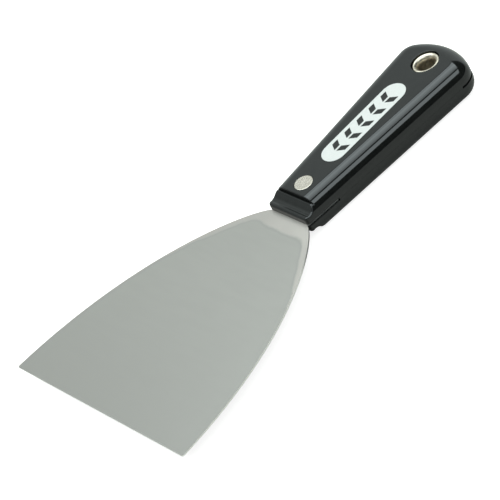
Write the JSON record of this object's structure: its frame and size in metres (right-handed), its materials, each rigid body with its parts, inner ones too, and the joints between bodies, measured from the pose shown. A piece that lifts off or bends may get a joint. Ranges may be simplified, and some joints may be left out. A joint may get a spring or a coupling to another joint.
{
  "type": "flexible scraper",
  "caption": "Broad flexible hand scraper with a ground spring-steel blade, a riveted two-piece black plastic handle and an eyelet-lined hang hole.",
  "frame": {"origin": "under the middle of the tool's length and width, on the plane of the back scale's flat face", "axes": "+X along the tool from the working edge to the butt, +Y across the blade, +Z out of the front scale"},
  "size_m": [0.1986, 0.1016, 0.0154],
  "materials": {
    "blade_steel": "fine-ground satin steel, plain and brighter round the neck",
    "handle_plastic": "glossy moulded black plastic",
    "rivet_plate": "satin nickel plate",
    "eyelet_plate": "bright nickel plate"
  },
  "bodies": {
    "root": {"blade": "blade_steel", "front_scale": "handle_plastic", "back_scale": "handle_plastic", "rivet_post": "rivet_plate", "rivet_sleeve": "rivet_plate", "hang_eyelet": "eyelet_plate", "eyelet_washer": "eyelet_plate"}
  },
  "joints": []
}
